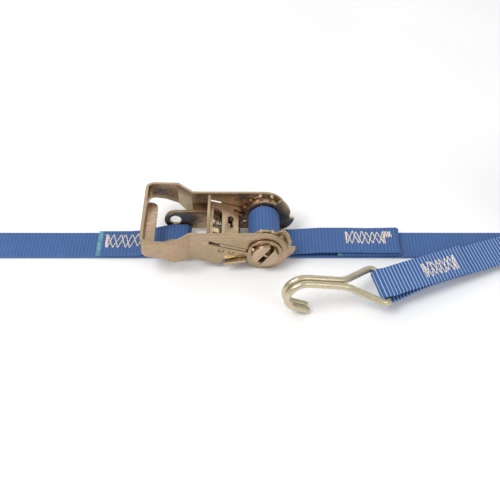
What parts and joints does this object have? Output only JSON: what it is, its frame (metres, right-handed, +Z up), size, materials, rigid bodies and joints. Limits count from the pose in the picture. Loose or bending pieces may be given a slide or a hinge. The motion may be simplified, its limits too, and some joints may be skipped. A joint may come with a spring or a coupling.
{
  "type": "ratchet tie down",
  "caption": "Webbing ratchet tie down: folding-handle ratchet with sewn fixed strap, long strap wound on its spindle, and double-J wire hooks.",
  "frame": {"origin": "middle of the whole object's box at the height of the surface it lies on", "axes": "+X along the long strap away from the ratchet, +Y across the strap, +Z up from the surface it lies on"},
  "size_m": [0.6192, 0.0982, 0.0931],
  "materials": {
    "plated_steel": "yellow zinc plated, satin",
    "hook_wire": "pale yellow zinc plated, glossy",
    "spring_steel": "bright",
    "webbing": "woven polyester, slight sheen",
    "tie": "matte"
  },
  "bodies": {
    "base": {"base_frame": "plated_steel", "lock_spring": "spring_steel", "fixed_strap": "webbing", "long_strap": "webbing", "strap_tail": "webbing", "hook_strap": "webbing", "stored_roll": "webbing", "roll_tie": "tie"},
    "handle": {"handle_frame": "plated_steel", "drive_spring": "spring_steel", "drive_spring_seat": "plated_steel"},
    "drive_pawl_body": {"drive_pawl": "plated_steel"},
    "lock_pawl_body": {"lock_pawl": "plated_steel"},
    "spindle": {"spindle_half_upper": "plated_steel", "spindle_half_lower": "plated_steel", "ratchet_wheel_near": "plated_steel", "ratchet_wheel_far": "plated_steel", "washer_near": "plated_steel", "washer_far": "plated_steel", "split_pin_near": "plated_steel", "split_pin_far": "plated_steel", "webbing_roll": "webbing"},
    "free_hook_body": {"free_hook": "hook_wire"},
    "fixed_hook_body": {"fixed_hook": "hook_wire"}
  },
  "joints": [
    {"name": "handle_fold", "type": "hinge", "parent": "base", "child": "handle", "pos_m": [0.02061, 0.01821, 0.016], "axis": [0, 1, 0], "range_deg": [0, 165]},
    {"name": "drive_pawl_slide", "type": "slide", "parent": "handle", "child": "drive_pawl_body", "axis": [-0.9613, 0, 0.2756], "range_m": [-0.0034, 0.007], "stiffness_N_per_m": 300, "deforming": ["drive_spring"]},
    {"name": "lock_pawl_slide", "type": "slide", "parent": "base", "child": "lock_pawl_body", "axis": [-0.9839, 0, -0.1788], "range_m": [0, 0.0042], "stiffness_N_per_m": 300, "springref_m": -0.003, "deforming": ["lock_spring"]},
    {"name": "spindle_turn", "type": "hinge", "parent": "base", "child": "spindle", "pos_m": [0.02061, 0.01821, 0.016], "axis": [0, 1, 0], "continuous": true},
    {"name": "free_hook_swing", "type": "hinge", "parent": "base", "child": "free_hook_body", "pos_m": [0.09777, -0.03012, 0.01074], "axis": [-0.2164, 0.9763, 0], "range_deg": [0, 80]},
    {"name": "fixed_hook_swing", "type": "hinge", "parent": "base", "child": "fixed_hook_body", "pos_m": [-0.24153, 0.01821, 0.01074], "axis": [0, 1, 0], "range_deg": [0, 80]}
  ]
}
